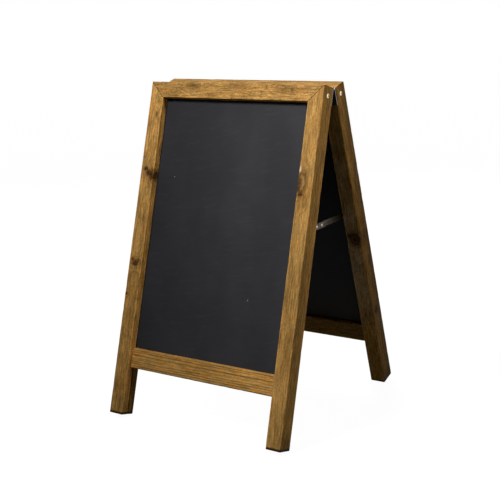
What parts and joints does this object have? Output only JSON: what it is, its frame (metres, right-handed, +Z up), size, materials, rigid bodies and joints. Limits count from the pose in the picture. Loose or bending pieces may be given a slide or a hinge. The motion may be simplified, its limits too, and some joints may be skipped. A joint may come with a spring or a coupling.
{
  "type": "sandwich board",
  "caption": "Free-standing sandwich board: two hinged timber frames with black chalkboard panels, held open by folding steel stays, and folding flat.",
  "frame": {"origin": "on the ground, midway between the four feet, under the hinge axis, with the board standing open", "axes": "+Z up; +X along the hinge axis, to the right as the front chalkboard is read; -Y is the side that the front chalkboard faces"},
  "size_m": [0.45, 0.5166, 0.7342],
  "materials": {
    "timber": "softwood, stained golden brown, satin, with knots and eased edges",
    "blackboard": "hardboard painted matt blackboard black, with faint chalk dust",
    "steel": "zinc-plated steel, slightly dull",
    "screw_yellow": "yellow zinc-plated steel"
  },
  "bodies": {
    "front_frame": {"front_left_stile": "timber", "front_right_stile": "timber", "front_top_rail": "timber", "front_bottom_rail": "timber", "front_chalkboard": "blackboard", "front_corner_screws": "screw_yellow", "front_hinge_screws": "steel", "left_hinge_front_leaf": "steel", "left_hinge_pin": "steel", "left_stay_front_screw": "steel", "left_stay_front_spacer": "steel", "right_hinge_front_leaf": "steel", "right_hinge_pin": "steel", "right_stay_front_screw": "steel", "right_stay_front_spacer": "steel"},
    "rear_frame": {"rear_left_stile": "timber", "rear_right_stile": "timber", "rear_top_rail": "timber", "rear_bottom_rail": "timber", "rear_chalkboard": "blackboard", "rear_corner_screws": "screw_yellow", "rear_hinge_screws": "steel", "left_hinge_rear_leaf": "steel", "left_stay_rear_screw": "steel", "left_stay_rear_spacer": "steel", "right_hinge_rear_leaf": "steel", "right_stay_rear_screw": "steel", "right_stay_rear_spacer": "steel"},
    "left_stay_front": {"left_stay_front_link": "steel", "left_stay_knee_plate": "steel", "left_stay_knee_rivet": "steel", "left_stay_plate_rivet": "steel"},
    "left_stay_rear": {"left_stay_rear_link": "steel", "left_stay_knee_rivet_tail": "steel"},
    "right_stay_front": {"right_stay_front_link": "steel", "right_stay_knee_plate": "steel", "right_stay_knee_rivet": "steel", "right_stay_plate_rivet": "steel"},
    "right_stay_rear": {"right_stay_rear_link": "steel", "right_stay_knee_rivet_tail": "steel"}
  },
  "joints": [
    {"name": "fold", "type": "hinge", "parent": "front_frame", "child": "rear_frame", "pos_m": [0, 0, 0.72224], "axis": [-1, 0, 0], "range_deg": [0, 33.4]},
    {"name": "left_stay_front_pivot", "type": "hinge", "parent": "front_frame", "child": "left_stay_front", "pos_m": [-0.18545, -0.10134, 0.4269], "axis": [1, 0, 0], "range_deg": [0, 66.4]},
    {"name": "left_stay_rear_pivot", "type": "hinge", "parent": "rear_frame", "child": "left_stay_rear", "pos_m": [-0.18375, 0.10134, 0.4269], "axis": [-1, 0, 0], "range_deg": [0, 66.4]},
    {"name": "right_stay_front_pivot", "type": "hinge", "parent": "front_frame", "child": "right_stay_front", "pos_m": [0.18545, -0.10134, 0.4269], "axis": [1, 0, 0], "range_deg": [0, 66.4]},
    {"name": "right_stay_rear_pivot", "type": "hinge", "parent": "rear_frame", "child": "right_stay_rear", "pos_m": [0.18375, 0.10134, 0.4269], "axis": [-1, 0, 0], "range_deg": [0, 66.4]}
  ],
  "couplings": [
    {"joint": "left_stay_front_pivot", "follows": "fold", "ratio": 1.9875},
    {"joint": "left_stay_rear_pivot", "follows": "fold", "ratio": 1.9875},
    {"joint": "right_stay_front_pivot", "follows": "fold", "ratio": 1.9875},
    {"joint": "right_stay_rear_pivot", "follows": "fold", "ratio": 1.9875}
  ]
}
